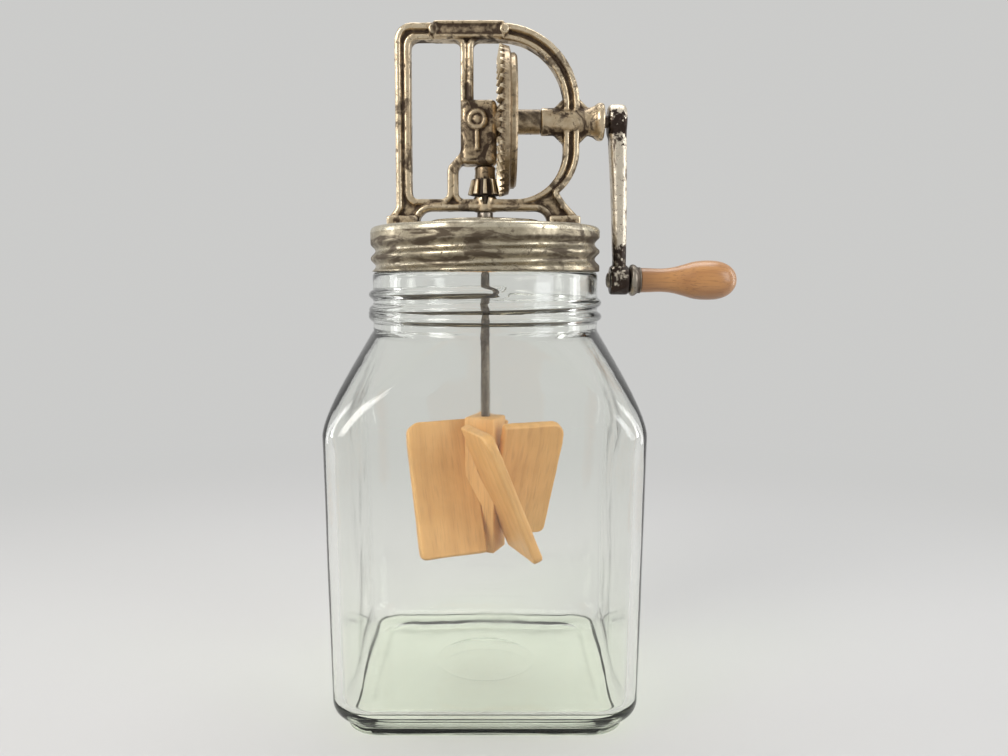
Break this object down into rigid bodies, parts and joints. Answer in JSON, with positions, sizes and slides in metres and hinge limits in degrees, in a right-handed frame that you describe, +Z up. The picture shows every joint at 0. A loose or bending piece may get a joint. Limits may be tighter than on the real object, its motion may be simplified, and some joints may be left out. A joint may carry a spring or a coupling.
{
  "type": "butter churn",
  "caption": "Hand-cranked butter churn: square glass jar, tinned screw lid with a cast gear frame, bevel gears, wooden crank grip and bladed wooden dasher.",
  "frame": {"origin": "centre of the jar's flat underside", "axes": "+Z up along the dasher rod, +X towards the crank and its grip, -Y towards the front"},
  "size_m": [0.2126, 0.1548, 0.3556],
  "materials": {
    "glass": "clear pressed glass with a faint green tint",
    "tin": "dull tinned sheet with dark smears",
    "casting": "worn plated iron casting, brown in its recesses",
    "gear_metal": "bare gear metal with brown patina",
    "steel": "dark bare steel",
    "grip_wood": "orange-brown varnished turned wood",
    "dasher_wood": "honey-coloured bare wood"
  },
  "bodies": {
    "jar": {"glass_jar": "glass"},
    "lid": {"lid_cap": "tin", "rod_bush": "steel", "gear_frame": "casting", "foot_screw_1": "steel", "foot_screw_2": "steel", "foot_screw_3": "steel", "foot_screw_4": "steel"},
    "crank": {"drive_shaft": "steel", "drive_gear": "gear_metal", "gear_pin": "steel", "crank_arm": "casting", "crank_pin": "steel", "handle_spindle": "steel"},
    "handle": {"handle_ferrule": "gear_metal", "wood_handle": "grip_wood"},
    "dasher": {"dasher_rod": "steel", "pinion": "gear_metal", "pinion_pin": "steel", "dasher_hub": "dasher_wood", "hub_pin": "steel", "dasher_blade_1": "dasher_wood", "dasher_blade_2": "dasher_wood", "dasher_blade_3": "dasher_wood", "dasher_blade_4": "dasher_wood"}
  },
  "joints": [
    {"name": "lid_lift", "type": "slide", "parent": "jar", "child": "lid", "axis": [0, 0, 1], "range_m": [0, 0.17]},
    {"name": "crank_turn", "type": "hinge", "parent": "lid", "child": "crank", "pos_m": [0, 0, 0.3052], "axis": [1, 0, 0], "continuous": true},
    {"name": "handle_spin", "type": "hinge", "parent": "crank", "child": "handle", "pos_m": [0, 0, 0.2221], "axis": [1, 0, 0], "continuous": true},
    {"name": "dasher_turn", "type": "hinge", "parent": "lid", "child": "dasher", "pos_m": [0, 0, 0.2], "axis": [0, 0, 1], "continuous": true}
  ],
  "couplings": [
    {"joint": "dasher_turn", "follows": "crank_turn", "ratio": 4.4}
  ]
}
